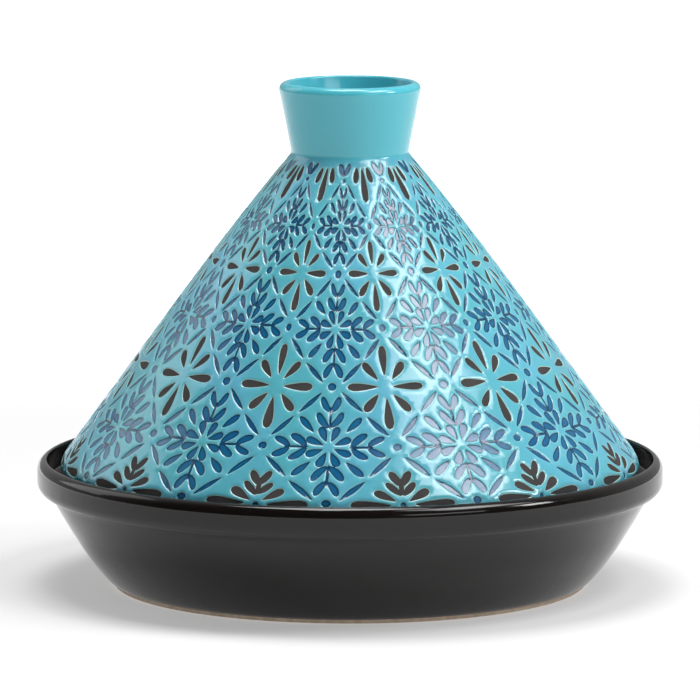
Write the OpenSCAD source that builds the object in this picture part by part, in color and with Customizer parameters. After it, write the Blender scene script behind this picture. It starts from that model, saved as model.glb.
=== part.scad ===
// Conical cooking pot of glazed stoneware, in two loose pieces: a shallow dish with an
// upright rim, and a tall conical lid. The lid stands on a ledge inside the dish's rim,
// and the hollow neck at its top is its handle. Both are turned about Z.
// The origin is at the centre of the foot's resting plane, +Z up, in millimetres.

/* [Dish] */
// Outside diameter of the upright rim
rim_d = 285; // [270:1:300]
// Height of the dish, from the table to the top of the rim
dish_h = 57.4; // [54:0.2:60]
// Height of the upright band that forms the rim
band_h = 15; // [14:0.5:17]
// How far the band stands out beyond the bowl under it
band_step = 5.7; // [5.2:0.1:7]
// Thickness of the rim above the ledge
lip_t = 4.5; // [4:0.1:5.5]
// Depth of the ledge that carries the lid, below the top of the rim
ledge_depth = 10.4; // [9:0.2:12]
// Height of the dish's floor above the table
floor_z = 8; // [7:0.5:10]
// How far the foot stands in from the rim
foot_inset = 35.3; // [34:0.1:38]
// Width of the foot ring
foot_w = 9; // [7:0.5:12]
// Depth of the shallow recess inside the foot ring
recess = 1.8; // [1:0.1:2.5]

/* [Lid] */
// Height of the whole pot with the lid on
total_h = 229.2; // [215:0.2:240]
// Gap all round between the lid's skirt and the rim
lid_gap = 6.2; // [4:0.1:8]
// Height of the plain skirt under the cone
skirt_h = 10.5; // [10:0.1:12]
// Thickness of the cone's wall
lid_wall = 6; // [5:0.5:7]
// Radius of the waist where the cone meets the neck
waist_r = 26.5; // [25:0.5:28]
// Height of the neck above the waist
neck_h = 32; // [28:0.5:36]
// Largest radius of the neck, at its rim
neck_r = 32.6; // [31.5:0.1:34]
// Thickness of the neck's wall
neck_wall = 4.3; // [4:0.1:5]
// Thickness of the well's floor, under the neck
well_floor = 5.8; // [5:0.2:8]

/* [Hidden] */
$fn = 128;

// Radii of the rounded edges
rim_round = 3.4;
band_round = 5;
ledge_round = 2;
fillet = 1.5;
neck_round = 3;
well_round = 4;
foot_round = 0.6;

// Dish: run per rise of the bowl's outside, just above the foot and just under the band
flare_low = 1.2;
flare_high = 0.53;
rim_r = rim_d / 2;
lip_r = rim_r - lip_t;
band_z = dish_h - band_h;
ledge_z = dish_h - ledge_depth;
foot_r = rim_r - foot_inset;
bowl_low = [foot_r + foot_round * flare_low, foot_round];
bowl_high = [rim_r - band_step, band_z];
bowl_mid_z = (bowl_high[0] - flare_high * bowl_high[1] - bowl_low[0] + flare_low * bowl_low[1])
    / (flare_low - flare_high);
bowl_mid = [bowl_low[0] + flare_low * (bowl_mid_z - bowl_low[1]), bowl_mid_z];

// Lid: the skirt's outside is one arc, and the seat is the flat ring under it
skirt_r = lip_r - lid_gap;
skirt_arc = 9;
skirt_arc_z = ledge_z + 8;
skirt_top_z = ledge_z + skirt_h;
skirt_low_a = asin((ledge_z - skirt_arc_z) / skirt_arc);
skirt_top_a = asin((skirt_top_z - skirt_arc_z) / skirt_arc);
seat_in_r = skirt_r - skirt_arc + skirt_arc * cos(skirt_low_a) - 6;
ledge_in_r = seat_in_r - 1.5;

// Lid: the cone's outside runs from the skirt to the waist, bowed a little off straight
bow_low = -0.3;
bow_high = 4.2;
waist_z = total_h - neck_h;
cone_low = [skirt_r - skirt_arc + skirt_arc * cos(skirt_top_a), skirt_top_z];
cone_high = [waist_r, waist_z];
cone = [
    cone_low,
    cone_low + (cone_high - cone_low) / 3 + [bow_low, 0],
    cone_low + (cone_high - cone_low) * 2 / 3 + [bow_high, 0],
    cone_high
];
ceiling = offset_in(cone, 1, lid_wall);
well_z = ceiling[1] + well_floor;
neck_lean = atan((neck_r - waist_r) / (neck_h - neck_round));
neck_in_r = neck_r - neck_wall;
well_r = neck_in_r - (total_h - neck_round - well_z) * tan(neck_lean);

// Points along an arc about c, with radius r, from angle a0 to angle a1
function arc(c, r, a0, a1, n = 8) =
    [for (i = [0:n]) c + r * [cos(a0 + (a1 - a0) * i / n), sin(a0 + (a1 - a0) * i / n)]];

// Point at t on the curve with control points p, three for a quadratic and four for a cubic
function on_curve(p, t) =
    len(p) == 3
    ? (1 - t) * (1 - t) * p[0] + 2 * t * (1 - t) * p[1] + t * t * p[2]
    : (1 - t) * on_curve([p[0], p[1], p[2]], t) + t * on_curve([p[1], p[2], p[3]], t);

// Points along the curve from t0 to t1
function curve(p, n = 16, t0 = 0, t1 = 1) = [for (i = [0:n]) on_curve(p, t0 + (t1 - t0) * i / n)];

// Point at t on the cubic p, moved towards the axis by d, square to the curve
function offset_in(p, t, d) =
    let (run = (1 - t) * (1 - t) * (p[1] - p[0]) + 2 * t * (1 - t) * (p[2] - p[1]) + t * t * (p[3] - p[2]))
    on_curve(p, t) - d * [run[1], -run[0]] / norm(run);

// Shallow bowl on a foot ring, with an upright rim and a flat ledge inside it
module base_dish() {
    outside = concat(
        [[0, recess], [foot_r - foot_w - recess, recess], [foot_r - foot_w, 0]],
        [[foot_r - foot_round / 2, 0]],
        curve([bowl_low, bowl_mid, bowl_high]),
        arc([rim_r - band_round, band_z + band_round], band_round, -90, 0),
        arc([rim_r - rim_round, dish_h - rim_round], rim_round, 0, 90)
    );
    lip_inside = concat(
        arc([rim_r - rim_round, dish_h - lip_t + rim_round], lip_t - rim_round, 90, 180, 4),
        arc([lip_r - fillet, ledge_z + fillet], fillet, 0, -90, 4),
        arc([ledge_in_r + ledge_round, ledge_z - ledge_round], ledge_round, 90, 180, 4)
    );
    bowl_inside = curve([
        [ledge_in_r, ledge_z - ledge_round],
        [ledge_in_r - 1, floor_z + 14],
        [ledge_in_r - 11, floor_z],
        [ledge_in_r - 34, floor_z]
    ]);
    color("#2b2726")
        rotate_extrude()
            polygon(concat(outside, lip_inside, bowl_inside, [[0, floor_z]]));
}

// Cone with a plain skirt, and a hollow neck that flares to a rounded rim
module lid() {
    skirt_c = [skirt_r - skirt_arc, skirt_arc_z];
    outside = concat(
        [[seat_in_r, ledge_z]],
        arc(skirt_c, skirt_arc, skirt_low_a, skirt_top_a, 10),
        curve(cone, 24, 1 / 24),
        arc([neck_r - neck_round, total_h - neck_round], neck_round, -neck_lean, 90)
    );
    well = concat(
        arc([neck_r - neck_round, total_h - neck_wall + neck_round], neck_wall - neck_round, 90, 180, 4),
        arc([well_r - well_round, well_z + well_round], well_round, -neck_lean, -90, 6)
    );
    inside_curve = [for (i = [22:-1:0]) offset_in(cone, i / 24, lid_wall)];
    inside = concat(
        curve([[ceiling[0] / 2, ceiling[1]], ceiling, inside_curve[0]], 6),
        [for (p = inside_curve) if (p != inside_curve[0] && p[0] < seat_in_r - 1) p],
        [[seat_in_r, ledge_z + skirt_h + 4]]
    );
    color("#58b4c4")
        rotate_extrude()
            polygon(concat(outside, well, [[0, well_z], [0, ceiling[1]]], inside));
}

base_dish();
lid();
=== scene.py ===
"""Tagine pot: a black glazed dish and a turquoise lid with a pressed, painted pattern.

Outlines and the pattern are in millimetres, and the scene is in metres in the frame's axes.
Both pieces are turned about Z, so an outline is a list of (radius, height).
"""

import math
import random

import bmesh
import bpy
import numpy as np
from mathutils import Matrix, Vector
from mathutils.geometry import delaunay_2d_cdt


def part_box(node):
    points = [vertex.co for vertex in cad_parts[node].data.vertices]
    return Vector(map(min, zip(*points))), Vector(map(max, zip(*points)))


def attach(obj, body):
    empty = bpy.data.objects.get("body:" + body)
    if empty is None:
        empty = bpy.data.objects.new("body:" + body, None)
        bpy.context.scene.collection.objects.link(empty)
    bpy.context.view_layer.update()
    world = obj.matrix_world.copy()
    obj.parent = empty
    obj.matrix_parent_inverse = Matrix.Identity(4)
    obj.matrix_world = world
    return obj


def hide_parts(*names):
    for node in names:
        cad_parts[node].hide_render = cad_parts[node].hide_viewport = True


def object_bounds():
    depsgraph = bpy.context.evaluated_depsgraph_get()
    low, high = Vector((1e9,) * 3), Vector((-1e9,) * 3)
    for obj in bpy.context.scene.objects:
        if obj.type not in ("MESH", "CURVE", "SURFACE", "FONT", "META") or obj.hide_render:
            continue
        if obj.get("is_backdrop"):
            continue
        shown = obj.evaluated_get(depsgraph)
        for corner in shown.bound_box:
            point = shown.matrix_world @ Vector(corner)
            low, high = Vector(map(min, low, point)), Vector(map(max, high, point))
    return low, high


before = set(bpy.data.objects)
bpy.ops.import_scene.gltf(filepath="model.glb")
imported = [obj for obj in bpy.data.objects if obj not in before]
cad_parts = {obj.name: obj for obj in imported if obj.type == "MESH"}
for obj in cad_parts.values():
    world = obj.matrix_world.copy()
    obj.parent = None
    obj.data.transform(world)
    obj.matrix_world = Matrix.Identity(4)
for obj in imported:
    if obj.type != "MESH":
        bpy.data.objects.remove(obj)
cad_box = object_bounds()

MM = 0.001
DISH_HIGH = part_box("base_dish")[1]
LID_LOW, LID_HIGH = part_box("lid")

# ---------------------------------------------------------------- sizes, in millimetres
RIM_R = DISH_HIGH.x / MM
DISH_H = DISH_HIGH.z / MM
SKIRT_R = LID_HIGH.x / MM
SEAT_Z = LID_LOW.z / MM
TOP_Z = LID_HIGH.z / MM

# Dish
BAND_H = 15.0  # the upright band below the rim
BAND_STEP = 5.7  # how far the wall starts inside the band
BAND_ROUND = 5.0
LIP = 4.5  # width of the rim's top
LIP_ROUND = 4.0
LIP_TALL = 4.8  # height over which the rim's outer edge is round
LEDGE_IN_R = 119.4
LEDGE_ROUND = 2.0
LEDGE_CORNER = 1.5
FLOOR_Z = 8.0
FOOT_R = RIM_R - 35.3
FOOT_W = 9.0
FOOT_RECESS = 1.8
FOOT_EDGE = (FOOT_R + 0.7, 0.6)
BARE_EDGE = (FOOT_R + 1.6, 2.0)  # where the glaze begins
GLAZE_ROLL = 0.6  # height of the glaze's rounded edge
DISH_SIDES = 240

# Lid
SEAT_IN_R = 120.9  # inside of the skirt
SEAT_ROUND = 0.6
SKIRT_ARC = 9.0
SKIRT_ARC_Z = SEAT_Z + 8.0
CREASE_Z = 54.0  # the line between the plain skirt and the pattern
CREASE_DROP, CREASE_STEP = 0.45, 0.3  # how far the skirt ends below and inside that line
CONE_LOW = np.array([131.45, 57.5])
CONE_HIGH = np.array([26.5, TOP_Z - 32.0])  # the waist
BOW_LOW, BOW_HIGH = -0.3, 4.2  # how far the cone's side bows out at one and two thirds
SHOULDER_Z = 60.5  # where the shoulder's curve meets the cone
WALL = 6.0
WELL_FLOOR = 5.8
WELL_ROUND = 4
NECK_R = 32.15
NECK_WALL = 4.3
NECK_ROUND = 3.2
WAIST_FILLET = 1.5
SKIRT_SIDES, NECK_SIDES = 180, 96

# Pattern
COLUMNS = 12
ROW_Z = [56.6, 80.0, 104.2, 128.0, 150.3, 169.3, 188.3]  # from the skirt up to the waist
TOP_ROW = 6
TOP_TALL = 3.3  # how many times as high as wide a cell of the top row is
BLUE_AZIMUTH = math.radians(-4.7)  # of the first column of blue flowers, from the front
DEPTH = 0.52  # from the ground's highest to the floor of a shape
SWELL = 0.15  # how much of the depth is the ground's gentle swell


# ---------------------------------------------------------------- outlines
def arc(cx, cz, r, a0, a1, steps=8):
    """Points (radius, height) on an arc about (cx, cz), angles in degrees."""
    a = np.radians(np.linspace(a0, a1, steps + 1))
    return [(cx + r * math.cos(t), cz + r * math.sin(t)) for t in a]


def bezier(points, t):
    """Point or points at t on the curve with these control points."""
    points = [np.asarray(p, float) for p in points]
    t = np.asarray(t, float)[..., None]
    while len(points) > 1:
        points = [(1 - t) * a + t * b for a, b in zip(points, points[1:])]
    return points[0]


def curve(points, steps):
    """The points of a bezier curve as a list."""
    return [tuple(p) for p in bezier(points, np.linspace(0, 1, steps + 1))]


CONE = [
    CONE_LOW,
    CONE_LOW + (CONE_HIGH - CONE_LOW) / 3 + [BOW_LOW, 0],
    CONE_LOW + (CONE_HIGH - CONE_LOW) * 2 / 3 + [BOW_HIGH, 0],
    CONE_HIGH,
]


def foot_outline():
    """The bare foot: a shallow recess, the ring it leaves, and the ring's outer edge."""
    ring_r = FOOT_R - FOOT_W
    recess_r = ring_r - FOOT_RECESS
    outline = [(0, FOOT_RECESS), (recess_r - 1, FOOT_RECESS)]
    outline += curve([(recess_r, FOOT_RECESS), (ring_r - 1, 0.9), (ring_r, 0)], 3)
    outline += [(FOOT_R - 0.8, 0)]
    outline += curve([(FOOT_R - 0.1, 0), (FOOT_R + 0.5, 0), FOOT_EDGE], 3)
    return outline + [(FOOT_R + 1.3, BARE_EDGE[1] - 0.1), BARE_EDGE]


def glazed_outline():
    """The rest of the dish: up the wall, round the band and lip, over the ledge, to the floor."""
    band_z = DISH_H - BAND_H
    wall_top = (RIM_R - BAND_STEP, band_z)
    wall = curve([FOOT_EDGE, (FOOT_R + 12.5, 10.5), wall_top], 24)
    wall = [p for p in wall if p[1] > BARE_EDGE[1] + GLAZE_ROLL]
    outline = curve([BARE_EDGE, (FOOT_R + 2.3, BARE_EDGE[1] + 0.05), wall[0]], 3) + wall[1:-1]

    step = [wall[-1], (wall_top[0] + 0.9, band_z + 1), (RIM_R - BAND_ROUND + 2.2, band_z + 1)]
    outline += curve(step, 4)
    outline += arc(RIM_R - BAND_ROUND, band_z + BAND_ROUND, BAND_ROUND, -50, 0, 6)
    outline += [(RIM_R, band_z + BAND_ROUND + 2)]

    lip_z = DISH_H - LIP_TALL
    round_lip = arc(RIM_R - LIP_ROUND, lip_z, LIP_ROUND, 0, 80, 9)
    outline += [(r, lip_z + (z - lip_z) * LIP_TALL / LIP_ROUND) for r, z in round_lip]
    lip_r = RIM_R - LIP
    outline += curve([(RIM_R - LIP_ROUND, DISH_H), (lip_r + 0.1, DISH_H), (lip_r, DISH_H - 2.2)], 6)

    outline += [(lip_r, SEAT_Z + 5)]
    outline += arc(lip_r - LEDGE_CORNER, SEAT_Z + LEDGE_CORNER, LEDGE_CORNER, 0, -90, 4)
    outline += arc(LEDGE_IN_R + LEDGE_ROUND, SEAT_Z - LEDGE_ROUND, LEDGE_ROUND, 90, 180, 5)
    bowl = [(LEDGE_IN_R, SEAT_Z - 2.5), (LEDGE_IN_R - 1, FLOOR_Z + 14), (LEDGE_IN_R - 11, FLOOR_Z)]
    outline += curve(bowl + [(LEDGE_IN_R - 34, FLOOR_Z)], 16)
    return outline + [(LEDGE_IN_R - 70, FLOOR_Z), (0, FLOOR_Z)]


def inset(t, d):
    """Point at t on the cone's outline, moved into the wall by d."""
    run = bezier(CONE, t + 1e-4) - bezier(CONE, t - 1e-4)
    run /= np.hypot(*run)
    return bezier(CONE, t) - d * np.array([run[1], -run[0]])


def under_outline():
    """The lid from the middle of its ceiling, down inside, round the skirt, up to the crease."""
    ceiling = inset(1.0, WALL)
    slope = [tuple(inset(t, WALL)) for t in np.linspace(0.92, 0.0, 15)]
    slope = [p for p in slope if p[0] < SEAT_IN_R - 2]
    outline = [(0, ceiling[1]), (ceiling[0] / 4, ceiling[1])]
    outline += curve([(ceiling[0] / 2, ceiling[1]), tuple(ceiling), slope[0]], 6)
    outline += slope[1:]

    r, z = SEAT_IN_R, SEAT_Z
    outline += curve([(r - 0.8, z + 15.6), (r, z + 14), (r, z + 12)], 3)
    outline += [(r, z + 5)]
    outline += curve([(r, z + SEAT_ROUND), (r, z), (r + SEAT_ROUND, z)], 2)
    ends = [(h - SKIRT_ARC_Z) / SKIRT_ARC for h in (SEAT_Z, CREASE_Z - CREASE_DROP)]
    low_a, high_a = [math.degrees(math.asin(e)) for e in ends]
    middle_r = SKIRT_R - SKIRT_ARC
    outline += arc(middle_r, SKIRT_ARC_Z, SKIRT_ARC, low_a, high_a, 10)
    # Only the outside of the skirt is moved in, to leave a crease under the pattern
    return [(x - CREASE_STEP, h) if h > SEAT_Z + 3 and x > middle_r + 7 else (x, h)
            for x, h in outline]


def pattern_outline():
    """The lid from the crease, over the shoulder, up the cone to just below the waist."""
    steps = np.linspace(0, 0.2, 801)
    shoulder_t = next(t for t in steps if bezier(CONE, t)[1] >= SHOULDER_Z)
    top = bezier(CONE, shoulder_t)
    run = bezier(CONE, shoulder_t + 0.01) - top
    corner_z = top[1] + (SKIRT_R - top[0]) * run[1] / run[0]
    shoulder = curve([(SKIRT_R, CREASE_Z), (SKIRT_R, corner_z), tuple(top)], 24)
    waist_t = 1 - WAIST_FILLET / np.hypot(*(CONE[3] - CONE[2])) / 3
    return shoulder + [tuple(bezier(CONE, t)) for t in np.linspace(shoulder_t, waist_t, 160)[1:]]


def neck_outline(start):
    """The lid from the end of the pattern, over the waist, up the neck, to the well's middle."""
    lean = math.degrees(math.atan2(NECK_R - CONE_HIGH[0], TOP_Z - NECK_ROUND - CONE_HIGH[1]))
    slant = math.tan(math.radians(lean))
    up = np.array([math.sin(math.radians(lean)), math.cos(math.radians(lean))])
    outline = curve([start, tuple(CONE_HIGH), tuple(CONE_HIGH + up * WAIST_FILLET)], 5)[1:]
    outline += [tuple(CONE_HIGH + up * h) for h in (5, 10, 15, 20, 25)]
    rim_r = NECK_R - NECK_ROUND
    outline += arc(rim_r, TOP_Z - NECK_ROUND, NECK_ROUND, -lean, 90, 8)
    inner = NECK_WALL - NECK_ROUND
    outline += arc(rim_r, TOP_Z - inner, inner, 90, 180 - lean, 5)[1:]
    well_z = inset(1.0, WALL)[1] + WELL_FLOOR
    well_r = NECK_R - NECK_WALL - (TOP_Z - NECK_ROUND - well_z) * slant
    outline += [(well_r + h * slant, well_z + h) for h in (20, 12, 6)]
    outline += arc(well_r - WELL_ROUND, well_z + WELL_ROUND, WELL_ROUND, -lean, -90, 6)
    return outline + [(well_r / 2, well_z), (0, well_z)]


# ---------------------------------------------------------------- pattern shapes
# A motif's cell is one column wide and two rows high, from -0.5 to 0.5 both ways.
FORMS = {  # half width at t along a shape is t**a * (1 - t**b)**c
    "petal": (0.8, 3.0, 0.5),
    "almond": (0.75, 2.2, 0.6),
    "bar": (0.7, 5.0, 0.5),
    "lens": (0.9, 1.0, 0.9),
    "leaf": (0.38, 3.2, 0.5),
    "pod": (0.5, 2.4, 0.5),
    "club": (0.5, 5.0, 0.5),
    "oval": (0.5, 1.0, 0.5),
}
# How much wider each row's blue shapes are drawn than their width says
BOLD = [1.0, 1.0, 1.0, 1.06, 1.1, 1.14, 1.1]
# Motifs drawn off their place, by (column, row), and by how many columns
ASIDE = {(0.5, 2): -0.036, (0.5, 4): -0.036, (11.5, 0): 0.04}
SHIFT, WOBBLE = 0.0035, 0.0025  # how far a motif, and a shape's end, strays by hand


def half_width(form, t):
    """Half width at t along a shape of this form, where its widest is 1."""
    a, b, c = FORMS[form]
    fine = np.linspace(0, 1, 101)
    widest = (fine**a * (1 - fine**b) ** c).max()
    return t**a * (1 - t**b) ** c / widest


def shape(form, base, tip, width, middle=None, least=0.0, steps=7, tall=1.0):
    """A closed outline and its spine, from base to tip, in a cell tall times as high as wide.

    width is half the shape's width; least is the narrowest it gets between its ends.
    """
    t = (1 - np.cos(np.linspace(0, math.pi, steps + 1))) / 2
    base, tip = np.array(base, float), np.array(tip, float)
    middle = (base + tip) / 2 if middle is None else np.array(middle, float)
    spine = bezier([base, middle, tip], t)
    run = 2 * ((1 - t)[:, None] * (middle - base) + t[:, None] * (tip - middle))
    run[:, 1] *= tall
    side = np.stack([-run[:, 1], run[:, 0] / tall], 1) / np.hypot(run[:, 0], run[:, 1])[:, None]
    w = width * half_width(form, t)
    w[1:-1] = np.maximum(w[1:-1], least)
    left, right = spine + side * w[:, None], spine - side * w[:, None]
    outline = np.concatenate([left, right[-2:0:-1]])
    return outline, spine[1:-1]


def turned(p, quarter):
    """Point p turned by quarter right angles."""
    for _ in range(quarter % 4):
        p = (-p[1], p[0])
    return p


# The functions below yield a motif's shapes as (form, base, tip, width, middle, least).
def sprig(quarter):
    """Two pairs of leaves on a stem, opening away from the flower."""
    pairs = [
        ((0.166, 0.0), (0.205, 0.070), (0.290, 0.101), 0.0315),
        ((0.292, 0.0), (0.335, 0.055), (0.418, 0.074), 0.0290),
    ]
    for base, middle, tip, width in pairs:
        for s in (1, -1):
            b, m, e = [turned((p[0], p[1] * s), quarter) for p in (base, middle, tip)]
            yield "leaf", b, e, width, m, 0.013
    yield "oval", turned((0.150, 0), quarter), turned((0.335, 0), quarter), 0.0110, None, 0.0


def blue_flower():
    """Eight petals, four sprigs and four almonds round an empty middle."""
    for k in range(8):
        a = math.radians(22.5 + 45 * k)
        c, s = math.cos(a), math.sin(a)
        yield "petal", (0.044 * c, 0.044 * s), (0.181 * c, 0.181 * s), 0.033, None, 0.0
    for quarter in range(4):
        yield from sprig(quarter)
        base, tip = turned((0.126, 0.124), quarter), turned((0.250, 0.244), quarter)
        yield "almond", base, tip, 0.029, None, 0.0


def lattice():
    """The four sides of the diamond round a blue flower, each made of two slim lenses."""
    sides = [((0.085, 0.457), (0.264, 0.286)), ((0.291, 0.256), (0.455, 0.086))]
    for quarter in range(4):
        sx = 1 if quarter in (0, 3) else -1
        sy = 1 if quarter in (0, 1) else -1
        for near, far in sides:
            mid = ((near[0] + far[0]) / 2 - 0.006, (near[1] + far[1]) / 2 - 0.006)
            near, far, mid = [(p[0] * sx, p[1] * sy) for p in (near, far, mid)]
            yield "lens", near, far, 0.0210, mid, 0.0


def dot(x, y, rx, ry):
    """An oval about (x, y)."""
    yield "oval", (x - rx, y), (x + rx, y), ry, None, 0.0


def daisy():
    """Four long petals on the axes and four shorter ones between them."""
    for s in (1, -1):
        yield "bar", (0.066 * s, 0), (0.334 * s, 0), 0.034, None, 0.0
        yield "bar", (0, 0.094 * s), (0, 0.352 * s), 0.038, None, 0.0
        for v in (1, -1):
            yield "petal", (0.062 * s, 0.064 * v), (0.191 * s, 0.204 * v), 0.035, None, 0.0


def palmette():
    """The half flower at the skirt: two long petals, two short ones and a sprig above."""
    for s in (1, -1):
        yield "bar", (0.076 * s, 0), (0.345 * s, 0.006), 0.041, None, 0.0
        yield "petal", (0.044 * s, 0.036), (0.181 * s, 0.129), 0.033, None, 0.0
        yield "leaf", (0, 0.090), (0.098 * s, 0.196), 0.027, (0.050 * s, 0.128), 0.014
        yield "leaf", (0, 0.172), (0.068 * s, 0.290), 0.029, (0.032 * s, 0.214), 0.014
    yield "oval", (0, 0.084), (0, 0.232), 0.017, None, 0.0


def crown():
    """Three petals of a flower that the neck cuts off."""
    yield "club", (0, 0.135), (0, -0.243), 0.080, None, 0.0
    for s in (1, -1):
        yield "pod", (0.150 * s, 0.138), (0.205 * s, -0.036), 0.074, None, 0.0


def crown_leaves():
    """The pair of leaves between two crowns, running up to the neck."""
    yield "leaf", (-0.012, 0.052), (-0.132, 0.193), 0.078, (-0.085, 0.120), 0.0
    yield "leaf", (0.012, 0.052), (0.146, 0.190), 0.062, (0.085, 0.118), 0.0


def all_motifs():
    """(glaze, column, row, shapes) of every motif; the daisies' columns are at the halves."""
    for j in range(COLUMNS):
        for row in (1, 3, 5):
            yield "blue", j, row, [*blue_flower(), *lattice()]
            yield "blue", j + 0.5, row, [*dot(0, 0, 0.032, 0.031)]
        yield "blue", j, 0, [*dot(0, 0.020, 0.030, 0.034)]
        for row in (2, 4):
            yield "blue", j, row, [*dot(0, 0, 0.041, 0.035)]
        yield "blue", j, TOP_ROW, [*dot(0, 0, 0.045, 0.066)]
        yield "blue", j, TOP_ROW, [*crown_leaves()]
        yield "brown", j + 0.5, 0, [*palmette()]
        yield "blue", j + 0.5, 0, [*dot(0, -0.008, 0.017, 0.026)]
        for row in (2, 4):
            yield "brown", j + 0.5, row, [*daisy()]
        yield "brown", j + 0.5, TOP_ROW, [*crown()]


# ---------------------------------------------------------------- the pattern, laid flat
FIRST_COLUMN, LAST_COLUMN = -0.5, COLUMNS - 0.5  # where the seam is
FIELD_REACH = 3.0  # the distance given to points further than this from every shape
THIN_GAP = 0.3
# Rings of points this far outside every outline, and how near a shape they may then be
INSIDE_RING, INSIDE_KEPT = -0.34, (-0.45, -0.18)
OUTSIDE_RING, OUTSIDE_KEPT = 0.56, (0.2, 0.7)
SPINE_KEPT = (-9, -0.5)
RING_STEP = 1.8
# Spacing of points along the seam, and how far they keep from its ends and from each other
SEAM_STEP, SEAM_CLEAR, SEAM_NEAR = 1.2, 0.3, 0.35
SEAM_REACH = 0.6  # shapes this near the seam, in columns, are drawn at both sides of it
GROUND_STEP, GROUND_COLUMNS = 2.6, COLUMNS * 24
GROUND_CLEAR = 0.45
NARROW = 90  # distance from the cone's tip below which every other ground point is left out
EDGE_CLEAR = 0.25  # least distance of a point from the surface's lower and upper edges
FADE = 0.8  # how far from the surface's edges the relief dies away
TILT_REACH = 0.13  # how far to either side of a point its slope is measured
# The surface starts to rise this far inside a shape's edge, and rises over this distance
PRESS_START, PRESS_RUN = 0.26, 0.76
SWELL_START, SWELL_RUN = 0.30, 1.5


class Unrolled:
    """The pattern's surface laid flat: points (X, Y) about the cone's tip."""

    def __init__(self, outline):
        self.rz = np.array(outline, float)
        step = np.hypot(*np.diff(self.rz, axis=0).T)
        self.s = np.concatenate([[0], np.cumsum(step)])
        self.length = self.s[-1]
        past_shoulder = 40
        low, high = self.rz[past_shoulder, 0], self.rz[-1, 0]
        slope = (low - high) / (self.s[-1] - self.s[past_shoulder])
        self.turn = slope * math.tau / COLUMNS
        self.tip = self.length + high / slope
        run = np.gradient(self.rz, axis=0)
        run /= np.hypot(*run.T)[:, None]
        self.normal = np.stack([run[:, 1], -run[:, 0]], 1)

    def flat(self, u, s):
        """Column u and distance s above the crease, to a flat point."""
        a = np.asarray(u) * self.turn
        d = self.tip - np.asarray(s)
        return np.stack([d * np.sin(a), -d * np.cos(a)], -1)

    def columns(self, p):
        """Flat points, to columns and distances above the crease."""
        a = np.arctan2(p[:, 0], -p[:, 1])
        a = np.where(a < -self.turn * 2, a + math.tau, a)
        return a / self.turn, self.tip - np.hypot(p[:, 0], p[:, 1])

    def place(self, column, row, cell):
        """Points of a motif's cell, to columns and distances above the crease."""
        rows = row + 2 * cell[:, 1]
        z = np.interp(rows, np.arange(len(ROW_Z)), ROW_Z)
        z = z + np.minimum(rows, 0) * (ROW_Z[1] - ROW_Z[0])
        z = z + np.maximum(rows - len(ROW_Z) + 1, 0) * (ROW_Z[-1] - ROW_Z[-2])
        return column + cell[:, 0], np.interp(z, self.rz[:, 1], self.s)

    def frame_at(self, u, s):
        """The surface's outward normal, and its directions across and up, at u and s."""
        a = u * math.tau / COLUMNS + BLUE_AZIMUTH
        nr, nz = (np.interp(s, self.s, self.normal[:, k]) for k in (0, 1))
        normal = np.stack([nr * np.sin(a), -nr * np.cos(a), nz], -1)
        across = np.stack([np.cos(a), np.sin(a), 0 * a], -1)
        up = np.stack([-nz * np.sin(a), nz * np.cos(a), nr], -1)
        return normal, across, up

    def on_lid(self, u, s, lift):
        """The points in space, in millimetres, lift above the surface."""
        r = np.interp(s, self.s, self.rz[:, 0]) + lift * np.interp(s, self.s, self.normal[:, 0])
        z = np.interp(s, self.s, self.rz[:, 1]) + lift * np.interp(s, self.s, self.normal[:, 1])
        a = u * math.tau / COLUMNS + BLUE_AZIMUTH
        return np.stack([r * np.sin(a), -r * np.cos(a), z], -1)

    def well_inside(self, p):
        """Which flat points lie clear of the surface's edges."""
        u, s = self.columns(p)
        across = (u > FIRST_COLUMN + 1e-6) & (u < LAST_COLUMN - 1e-6)
        return across & (s > EDGE_CLEAR) & (s < self.length - EDGE_CLEAR)


def signed_distance(p, poly):
    """Distance from each point to a closed outline, negative inside it."""
    a, b = poly, np.roll(poly, -1, 0)
    ab = b - a
    ap = p[:, None] - a
    t = np.clip((ap * ab).sum(-1) / np.maximum((ab * ab).sum(-1), 1e-12), 0, 1)
    near = np.sqrt(((ap - t[..., None] * ab) ** 2).sum(-1)).min(1)
    ya, yb, y = a[:, 1], b[:, 1], p[:, 1:2]
    crosses = (ya > y) != (yb > y)
    x = a[:, 0] + (y - ya) * ab[:, 0] / np.where(np.abs(ab[:, 1]) < 1e-12, 1e-12, ab[:, 1])
    inside = (crosses & (p[:, :1] < x)).sum(1) % 2 == 1
    return np.where(inside, -near, near)


def grown(poly, d):
    """The outline moved outwards by d, corner by corner."""
    run = np.roll(poly, -1, 0) - np.roll(poly, 1, 0)
    run /= np.maximum(np.hypot(*run.T), 1e-9)[:, None]
    out = np.stack([run[:, 1], -run[:, 0]], 1)
    area = (poly[:, 0] * np.roll(poly[:, 1], -1) - np.roll(poly[:, 0], -1) * poly[:, 1]).sum()
    return poly + out * d * (1 if area > 0 else -1)


def divided(loop, longest):
    """The closed loop with points added along any side longer than this."""
    out = []
    for a, b in zip(loop, np.roll(loop, -1, 0)):
        n = max(1, math.ceil(np.hypot(*(b - a)) / longest))
        out += [a + (b - a) * k / n for k in range(n)]
    return out


def thinned(points, gap):
    """Points, leaving out any that share a square of side gap with one before it."""
    seen, out = set(), []
    for p in points:
        key = (round(p[0] / gap), round(p[1] / gap))
        if key not in seen:
            seen.add(key)
            out.append(p)
    return out


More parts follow.
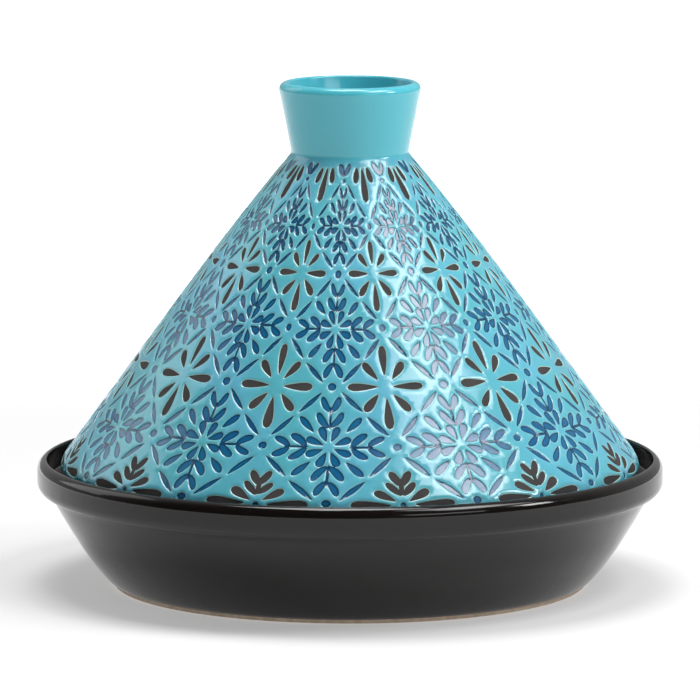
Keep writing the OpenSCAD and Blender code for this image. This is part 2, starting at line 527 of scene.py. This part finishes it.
def draw_shapes(sheet):
    """Every shape as (glaze, flat outline, flat spine), each a little different."""
    rng = random.Random(7)
    drawn = []
    for glaze, column, row, parts in all_motifs():
        aside = ASIDE.get((column, row), 0)
        shift = np.array([rng.gauss(0, SHIFT) + aside, rng.gauss(0, SHIFT)])
        bold = BOLD[int(row)] if glaze == "blue" else 1.0
        tall = TOP_TALL if row == TOP_ROW else 1.0
        for form, base, tip, width, middle, least in parts:
            simple = row > 3 or form in ("lens", "oval")
            steps = 5 if row > 4 else 6 if simple else 7
            base = base + np.array([rng.gauss(0, WOBBLE), rng.gauss(0, WOBBLE)])
            tip = tip + np.array([rng.gauss(0, WOBBLE), rng.gauss(0, WOBBLE)])
            wide = width * bold * rng.uniform(0.94, 1.07)
            outline, spine = shape(form, base, tip, wide, middle, least, steps, tall)
            cells = [sheet.place(column, row, q + shift) for q in (outline, spine)]
            drawn.append((glaze, *(sheet.flat(*q) for q in cells)))
    return drawn


def whole_circle(sheet, drawn):
    """The shapes, with those near the seam also drawn at the other end."""
    turn = sheet.turn * COLUMNS
    c, s = math.cos(turn), math.sin(turn)
    round_trip = np.array([[c, s], [-s, c]])
    out = []
    for glaze, outline, spine in drawn:
        u = sheet.columns(outline)[0]
        out.append((glaze, outline, spine))
        if u.min() < FIRST_COLUMN + SEAM_REACH:
            out.append((glaze, outline @ round_trip, spine @ round_trip))
        if u.max() > LAST_COLUMN - SEAM_REACH:
            out.append((glaze, outline @ round_trip.T, spine @ round_trip.T))
    return out


def field(points, shapes):
    """For each point, the distance to the nearest shape and whether that is brown."""
    near = np.full(len(points), FIELD_REACH)
    brown = np.zeros(len(points), bool)
    order = np.argsort(points[:, 0])
    xs = points[order, 0]
    for glaze, outline, _ in shapes:
        low, high = outline.min(0) - FIELD_REACH, outline.max(0) + FIELD_REACH
        some = order[np.searchsorted(xs, low[0]):np.searchsorted(xs, high[0])]
        y = points[some, 1]
        some = some[(y > low[1]) & (y < high[1])]
        if len(some):
            d = signed_distance(points[some], outline)
            closer = d < near[some]
            near[some[closer]] = d[closer]
            brown[some[closer]] = glaze == "brown"
    return near, brown


def smooth(x):
    """From 0 to 1 as x does, with a level start and end."""
    x = np.clip(x, 0, 1)
    return x * x * (3 - 2 * x)


def relief_height(d):
    """Height of the glaze at distance d from the nearest shape's edge."""
    press = smooth((d + PRESS_START) / PRESS_RUN) * (DEPTH - SWELL)
    swell = smooth((d + SWELL_START) / SWELL_RUN) * SWELL
    return press + swell - DEPTH


def relief_normals(sheet, flat, shapes, fade):
    """The normals of the pressed surface, from its slopes. Zero at the two edge rings."""
    u, s = sheet.columns(flat)
    a = u * sheet.turn
    slopes = []
    for way in (np.stack([np.cos(a), np.sin(a)], -1), np.stack([-np.sin(a), np.cos(a)], -1)):
        sides = [field(flat + way * k, shapes)[0] for k in (-TILT_REACH, TILT_REACH)]
        low, high = map(relief_height, sides)
        slopes.append(((high - low) / (2 * TILT_REACH) * fade)[:, None])
    normal, across, up = sheet.frame_at(u, s)
    tilted = normal - across * slopes[0] - up * slopes[1]
    tilted /= np.linalg.norm(tilted, axis=1)[:, None]
    return tilted * (fade > 0)[:, None]


class Sketch:
    """Flat points, and the edges between them that the triangles have to keep."""

    def __init__(self):
        self.points, self.edges = [], []

    def chain(self, chain, closed=False):
        first, n = len(self.points), len(chain)
        self.points.extend(map(tuple, chain))
        self.edges.extend((first + i, first + i + 1) for i in range(n - 1))
        if closed:
            self.edges.append((first + n - 1, first))


def add_outline(sketch, sheet, outline):
    """Adds a shape's outline, or what there is of it between the surface's edges."""
    keep = sheet.well_inside(outline)
    if keep.all():
        sketch.chain(outline, closed=True)
        return
    for p, q, ok, next_ok in zip(outline, np.roll(outline, -1, 0), keep, np.roll(keep, -1)):
        if ok and next_ok:
            sketch.chain([p, q])
        elif ok or next_ok:
            u, s = sheet.columns(np.array([p, q]))
            for edge in (FIRST_COLUMN, LAST_COLUMN):
                if (u[0] < edge) != (u[1] < edge):
                    t = (edge - u[0]) / (u[1] - u[0])
                    cut = sheet.flat(edge, s[0] + t * (s[1] - s[0]))
                    sketch.chain([p if ok else q, cut])


def seam_points(sheet, shapes):
    """Distances above the crease of the points along the seam, where outlines cross it first."""
    crossed = []
    for _, loop, _ in shapes:
        u, s = sheet.columns(loop)
        v, q = np.roll(u, -1), np.roll(s, -1)
        hit = ((u < FIRST_COLUMN) != (v < FIRST_COLUMN)) & (np.abs(u - v) < 1)
        t = (FIRST_COLUMN - u[hit]) / (v[hit] - u[hit])
        crossed += list(s[hit] + t * (q[hit] - s[hit]))
    seam = sorted(s for s in crossed if SEAM_CLEAR < s < sheet.length - SEAM_CLEAR)
    seam = [s for i, s in enumerate(seam) if i == 0 or s - seam[i - 1] > 0.05]
    for s in np.arange(SEAM_STEP, sheet.length - 0.8, SEAM_STEP):
        if all(abs(s - q) > SEAM_NEAR for q in seam):
            seam.append(s)
    return sorted(seam)


def loose_points(sheet, shapes):
    """Points inside and round every shape, and over the ground between them."""
    loose = []
    for _, outline, spine in shapes:
        loose += [(p, *INSIDE_KEPT) for p in grown(outline, INSIDE_RING)]
        loose += [(p, *SPINE_KEPT) for p in spine]
        ring = divided(grown(outline, OUTSIDE_RING), RING_STEP)
        loose += [(p, *OUTSIDE_KEPT) for p in ring]
    spots = np.array([p for p, _, _ in loose])
    near = field(spots, shapes)[0]
    good = (near > [low for _, low, _ in loose]) & (near < [high for _, _, high in loose])
    spots = spots[good & sheet.well_inside(spots)]

    across = np.linspace(FIRST_COLUMN, LAST_COLUMN, GROUND_COLUMNS + 1)[1:-1]
    u, s = np.meshgrid(across, np.arange(2, sheet.length - 1.5, GROUND_STEP))
    stagger = 0.5 * (LAST_COLUMN - FIRST_COLUMN) / GROUND_COLUMNS
    u = u + stagger * (np.arange(u.shape[0]) % 2)[:, None]
    ground = sheet.flat(u.ravel(), s.ravel())
    wide = sheet.tip - s.ravel() > NARROW
    ground = ground[wide | (np.arange(len(ground)) % 2 == 0)]
    near = field(ground, shapes)[0]
    ground = ground[(near > OUTSIDE_RING + GROUND_CLEAR) & sheet.well_inside(ground)]
    return thinned(np.concatenate([spots, ground]), THIN_GAP)


def build_relief(sheet):
    """The patterned surface: points in space, faces, their glazes, and for each point its
    distance from the nearest shape, whether that is brown, and its normal."""
    shapes = whole_circle(sheet, draw_shapes(sheet))
    sketch = Sketch()
    for sides, s in ((SKIRT_SIDES, 0.0), (NECK_SIDES, sheet.length)):
        ring = [FIRST_COLUMN + COLUMNS * k / sides for k in range(sides + 1)]
        sketch.chain([sheet.flat(u, s) for u in ring])
    seam = [0.0, *seam_points(sheet, shapes), sheet.length]
    for u in (FIRST_COLUMN, LAST_COLUMN):
        sketch.chain([sheet.flat(u, s) for s in seam])
    for _, outline, _ in shapes:
        add_outline(sketch, sheet, outline)
    sketch.points.extend(map(tuple, loose_points(sheet, shapes)))

    flat, _, faces, *_ = delaunay_2d_cdt(sketch.points, sketch.edges, [], 0, 1e-5, False)
    flat = np.array([tuple(p) for p in flat])
    faces = np.array([list(f) for f in faces])
    middle = flat[faces].mean(1)
    u, s = sheet.columns(middle)
    across = (u > FIRST_COLUMN) & (u < LAST_COLUMN)
    keep = across & (s > 0) & (s < sheet.length - 1e-3)
    faces, middle = faces[keep], middle[keep]
    d, brown = field(middle, shapes)
    glaze = np.where(d < 0, np.where(brown, 2, 1), 0)

    d, brown = field(flat, shapes)
    u, s = sheet.columns(flat)
    fade = smooth(np.minimum(s, sheet.length - s) / FADE)
    space = sheet.on_lid(u, s, relief_height(d) * fade)
    return space, faces, glaze, d, brown, relief_normals(sheet, flat, shapes, fade)


# ---------------------------------------------------------------- meshes
def revolved(outline, count, phase=0.0):
    """Points and faces of an outline turned about Z; a point on the axis is one point."""
    points, faces, rings = [], [], []
    a = np.arange(count) * math.tau / count + phase
    for r, z in outline:
        first = len(points)
        if r == 0:
            points.append((0, 0, z))
            rings.append([first] * count)
        else:
            points.extend(zip(r * np.sin(a), -r * np.cos(a), np.full(count, z)))
            rings.append(list(range(first, first + count)))
    for low, high in zip(rings, rings[1:]):
        for i in range(count):
            k = (i + 1) % count
            face = [low[i], low[k], high[k], high[i]]
            faces.append([v for n, v in enumerate(face) if v not in face[:n]])
    return points, faces


def mesh_object(name, points, faces, materials, slots, attributes=None):
    """A smooth mesh from points in millimetres."""
    mesh = bpy.data.meshes.new(name)
    mesh.from_pydata([tuple(np.array(p) * MM) for p in points], [], faces)
    for m in materials:
        mesh.materials.append(m)
    mesh.polygons.foreach_set("material_index", np.array(slots, np.int32))
    for key, values in (attributes or {}).items():
        values = np.array(values, np.float32)
        layer = mesh.attributes.new(key, "FLOAT" if values.ndim == 1 else "FLOAT_VECTOR", "POINT")
        layer.data.foreach_set("value" if values.ndim == 1 else "vector", values.ravel())
    mesh.polygons.foreach_set("use_smooth", np.ones(len(faces), bool))
    made = bpy.data.objects.new(name, mesh)
    bpy.context.scene.collection.objects.link(made)
    return made


def weld(made, gap):
    """Joins the edge points that lie within gap millimetres, and turns every face outwards."""
    bm = bmesh.new()
    bm.from_mesh(made.data)
    edge = [v for v in bm.verts if v.is_boundary]
    bmesh.ops.remove_doubles(bm, verts=edge, dist=gap * MM)
    bmesh.ops.recalc_face_normals(bm, faces=bm.faces)
    bm.to_mesh(made.data)
    bm.free()


def use_normals(made, key):
    """Shades the mesh with the normals kept in one of its attributes; zero keeps the mesh's own."""
    layer = made.data.attributes[key]
    normals = np.empty(len(made.data.vertices) * 3, np.float32)
    layer.data.foreach_get("vector", normals)
    made.data.attributes.remove(layer)
    made.data.normals_split_custom_set_from_vertices(normals.reshape(-1, 3).tolist())


def make_lid(turquoise, blue, brown):
    """The lid as one closed mesh: the patterned surface, and what is turned above and below it."""
    pattern = pattern_outline()
    space, relief_faces, glaze, d, is_brown, tilt = build_relief(Unrolled(pattern))
    points, faces, slots = list(map(tuple, space)), [list(f) for f in relief_faces], list(glaze)
    near, by_brown, tilt = list(d), list(is_brown.astype(float)), list(map(tuple, tilt))
    below = under_outline() + [pattern[0]]
    above = [pattern[-1]] + neck_outline(pattern[-1])
    phase = FIRST_COLUMN * math.tau / COLUMNS + BLUE_AZIMUTH
    for outline, sides in ((below, SKIRT_SIDES), (above, NECK_SIDES)):
        more, more_faces = revolved(outline, sides, phase)
        first = len(points)
        points += more
        faces += [[v + first for v in f] for f in more_faces]
        slots += [0] * len(more_faces)
        near += [FIELD_REACH] * len(more)
        by_brown += [0.0] * len(more)
        tilt += [(0.0, 0.0, 0.0)] * len(more)
    kept = {"edge_mm": near, "by_brown": by_brown, "tilt": tilt}
    made = mesh_object("lid_shell", points, faces, [turquoise, blue, brown], slots, kept)
    weld(made, 0.02)
    use_normals(made, "tilt")
    return made


def make_dish(glaze, clay):
    """The dish as one closed mesh, bare at the foot."""
    foot = foot_outline()
    points, faces = revolved(foot + glazed_outline(), DISH_SIDES)
    bare = (len(foot) - 1) * DISH_SIDES
    slots = [1 if i < bare else 0 for i in range(len(faces))]
    return mesh_object("dish_shell", points, faces, [glaze, clay], slots)


# ---------------------------------------------------------------- materials
TURQUOISE = (0.100, 0.452, 0.535), (0.122, 0.462, 0.615)
# The neck's turquoise, lighter than the cone's: partly a thicker glaze, partly painted light for a
# wall that leans down, away from the lamps above
NECK_TURQUOISE_PAINTED_LIGHT = (0.081, 0.497, 0.592)
THIN_TURQUOISE = (0.26, 0.64, 0.70)
BESIDE_BROWN = (0.48, 0.62, 0.50)
BLUE = (0.002, 0.142, 0.295), (0.0015, 0.110, 0.278)
BLUE_EDGE = (0.0005, 0.045, 0.110)
BROWN = (0.040, 0.037, 0.038), (0.056, 0.050, 0.050)
BLACK = (0.0060, 0.0047, 0.0044), (0.0085, 0.0067, 0.0061)
CLAY = (0.45, 0.35, 0.26), (0.57, 0.46, 0.36)
PAPER = (0.55, 0.55, 0.55)
WHITE = (1, 1, 1)


class Tree:
    """Short ways to add nodes to a material's or world's node tree. Each returns an output."""

    def __init__(self, owner):
        owner.use_nodes = True
        self.nodes, self.links = owner.node_tree.nodes, owner.node_tree.links

    def add(self, kind, output, inputs):
        """A node whose inputs are set to numbers and colours, or linked to other outputs."""
        n = self.nodes.new("ShaderNode" + kind)
        self.fill(n, inputs)
        return n.outputs[output]

    def fill(self, node, inputs):
        for key, value in inputs.items():
            socket = node.inputs[key]
            if isinstance(value, bpy.types.NodeSocket):
                self.links.new(value, socket)
            else:
                socket.default_value = (*value, 1) if isinstance(value, tuple) else value

    def place(self, kind="Object"):
        """Texture coordinates."""
        return self.add("TexCoord", kind, {})

    def along(self, axis, kind="Object"):
        """One of the texture coordinates."""
        return self.add("SeparateXYZ", axis, {0: self.place(kind)})

    def noise(self, scale, detail=3.0):
        inputs = {"Vector": self.place(), "Scale": scale, "Detail": detail}
        return self.add("TexNoise", "Fac", inputs)

    def attribute(self, name):
        n = self.nodes.new("ShaderNodeAttribute")
        n.attribute_name = name
        return n.outputs["Fac"]

    def ramp(self, source, low, high, out_low=0.0, out_high=1.0):
        """Smoothly from out_low to out_high as the source goes from low to high."""
        n = self.nodes.new("ShaderNodeMapRange")
        n.interpolation_type = "SMOOTHSTEP"
        self.fill(n, {"Value": source, "From Min": low, "From Max": high,
                      "To Min": out_low, "To Max": out_high})
        return n.outputs["Result"]

    def mixed(self, factor, a, b):
        """Colour a where the factor is 0, and b where it is 1."""
        n = self.nodes.new("ShaderNodeMix")
        n.data_type = "RGBA"
        self.links.new(factor, n.inputs["Factor"])
        colours = {i.name: i for i in n.inputs if i.type == "RGBA"}
        for key, value in (("A", a), ("B", b)):
            if isinstance(value, tuple):
                colours[key].default_value = (*value, 1)
            else:
                self.links.new(value, colours[key])
        return next(o for o in n.outputs if o.type == "RGBA")

    def times(self, a, b):
        n = self.nodes.new("ShaderNodeMath")
        n.operation = "MULTIPLY"
        self.fill(n, {0: a, 1: b})
        return n.outputs[0]

    def length(self, vector):
        n = self.nodes.new("ShaderNodeVectorMath")
        n.operation = "LENGTH"
        self.fill(n, {0: vector})
        return n.outputs["Value"]

    def patches(self, colours, scale, low, detail=3.0):
        """Two colours in soft patches; low and 1 - low are where one gives way to the other."""
        return self.mixed(self.ramp(self.noise(scale, detail), low, 1 - low), *colours)

    def gloss(self, scale, low, high):
        """Roughness that wanders between low and high."""
        return self.ramp(self.noise(scale), 0.3, 0.7, low, high)

    def bump(self, scale, detail, distance):
        """A normal made uneven by noise."""
        height = self.noise(scale, detail)
        return self.add("Bump", "Normal", {"Height": height, "Distance": distance, "Strength": 1.0})


def material(look):
    """A new material named after one of the functions below, which gives its shader's inputs."""
    made = bpy.data.materials.new(look.__name__)
    tree = Tree(made)
    tree.fill(tree.nodes["Principled BSDF"], look(tree))
    return made


def turquoise_glaze(tree):
    """Glossy turquoise, paler where it thins at the edges of the pressed shapes, and lighter on the
    neck, partly with painted light.
    """
    waist = CONE_HIGH[1]
    # Painted light: the neck turns a lighter turquoise, to brighten a wall that faces down and gets
    # less light
    neck_painted_light = tree.ramp(tree.along("Z"), (waist - 3) * MM, (waist + 2) * MM)
    colour = tree.mixed(neck_painted_light, tree.patches(TURQUOISE, 28.0, 0.35), NECK_TURQUOISE_PAINTED_LIGHT)
    edge = tree.attribute("edge_mm")
    colour = tree.mixed(tree.ramp(edge, 0.05, 0.9, 0.40, 0.0), colour, THIN_TURQUOISE)
    halo = tree.times(tree.ramp(edge, 0.1, 0.48, 0.62, 0.0), tree.attribute("by_brown"))
    return {
        "Base Color": tree.mixed(halo, colour, BESIDE_BROWN),
        "Roughness": tree.gloss(60.0, 0.14, 0.20),
        "IOR": 1.6,
        "Normal": tree.bump(150.0, 2.0, 0.00006),
    }


def blue_glaze(tree):
    """Translucent blue glaze pooled in the pressed shapes, darker round their edges."""
    pool = tree.ramp(tree.attribute("edge_mm"), -1.10, -0.15)
    return {
        "Base Color": tree.mixed(pool, tree.patches(BLUE, 45.0, 0.35), BLUE_EDGE),
        "Roughness": tree.gloss(90.0, 0.20, 0.28),
        "IOR": 1.72,
        "Normal": tree.bump(250.0, 2.0, 0.00005),
    }


def brown_slip(tree):
    """Matt grey-brown slip with a dusty, unglazed surface."""
    return {
        "Base Color": tree.patches(BROWN, 70.0, 0.3),
        "Roughness": 0.75,
        "Specular IOR Level": 0.25,
        "Normal": tree.bump(1500.0, 4.0, 0.00008),
    }


def black_glaze(tree):
    """Brown-black gloss."""
    return {
        "Base Color": tree.patches(BLACK, 22.0, 0.3),
        "Roughness": tree.gloss(120.0, 0.08, 0.14),
        "IOR": 1.46,
        "Normal": tree.bump(90.0, 2.0, 0.00012),
    }


def bare_clay(tree):
    """Unglazed buff clay."""
    return {
        "Base Color": tree.patches(CLAY, 300.0, 0.3, 5.0),
        "Roughness": 0.85,
        "Normal": tree.bump(1800.0, 5.0, 0.0002),
    }


def glowing_floor_paper(tree):
    """White paper that glows with painted light of its own, dim near the pot and brightest away
    from it.
    """
    return {
        "Base Color": PAPER,
        "Roughness": 0.9,
        "Emission Color": WHITE,
        # Painted light: the floor glows though no lamp is under it, less near the pot
        "Emission Strength": tree.ramp(tree.length(tree.place()), 0.42, 1.4, 0.36, 1.05),
    }


# ---------------------------------------------------------------- camera, light and floor
LENS = 342.6
CAMERA_AT = (0, -3.0, 0.541)
CAMERA_DOWN = 8.24
FLOOR_HALF = 12.0
FLOOR_DROP = 0.0002
AIM = Vector((0, 0, 0.11))
LIGHTS = [  # name, direction from the pot, distance, size, watts
    ("key_softbox", (0.49, -0.22, 0.85), 1.6, (0.95, 0.65), 10),
    ("key_core", (0.49, -0.22, 0.85), 1.5, (0.40, 0.40), 2.6),
    ("side_panel", (0.80, -0.20, 0.48), 1.7, (0.35, 0.35), 6),
    ("top_panel", (-0.05, 0.07, 1), 1.9, (0.95, 0.95), 24.5),
    ("left_panel", (-0.74, 0.42, 0.50), 2.0, (1.1, 1.3), 4.9),
    ("front_strip", (0.55, -0.78, 0.34), 2.0, (1.0, 0.28), 2.6),
]


def make_camera():
    data = bpy.data.cameras.new("camera")
    data.sensor_width = 36.0
    data.lens = LENS
    made = bpy.data.objects.new("camera", data)
    made.location = CAMERA_AT
    made.rotation_euler = (math.radians(90 - CAMERA_DOWN), 0, 0)
    bpy.context.scene.collection.objects.link(made)
    bpy.context.scene.camera = made


def make_floor():
    mesh = bpy.data.meshes.new("floor")
    h = FLOOR_HALF
    mesh.from_pydata([(-h, -h, 0), (h, -h, 0), (h, h, 0), (-h, h, 0)], [], [(0, 1, 2, 3)])
    mesh.materials.append(material(glowing_floor_paper))
    made = bpy.data.objects.new("floor", mesh)
    made.location.z = -FLOOR_DROP
    bpy.context.scene.collection.objects.link(made)
    made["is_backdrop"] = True


def area_light(name, direction, distance, size, power):
    data = bpy.data.lights.new(name, "AREA")
    data.shape = "RECTANGLE"
    data.size, data.size_y = size
    data.energy = power
    made = bpy.data.objects.new(name, data)
    place = AIM + Vector(direction).normalized() * distance
    made.location = place
    made.rotation_euler = (place - AIM).to_track_quat("Z", "Y").to_euler()
    bpy.context.scene.collection.objects.link(made)


def make_world():
    """A dim room in front of the pot and a white wall behind it."""
    world = bpy.data.worlds.new("studio")
    tree = Tree(world)
    light = tree.ramp(tree.along("Y", "Generated"), -0.25, 0.6, 0.02, 0.36)
    tree.fill(tree.nodes["Background"], {"Strength": light, "Color": WHITE})
    bpy.context.scene.world = world


# ---------------------------------------------------------------- the pot
make_camera()
make_world()
for light in LIGHTS:
    area_light(*light)
bpy.context.scene.view_settings.view_transform = "Standard"
make_floor()

dish = make_dish(material(black_glaze), material(bare_clay))
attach(dish, "dish")
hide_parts("base_dish")

lid = make_lid(material(turquoise_glaze), material(blue_glaze), material(brown_slip))
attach(lid, "cover")
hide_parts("lid")

boxes = {"cad": cad_box, "visual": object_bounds()}
{k: [list(v[0]), list(v[1])] for k, v in boxes.items()}
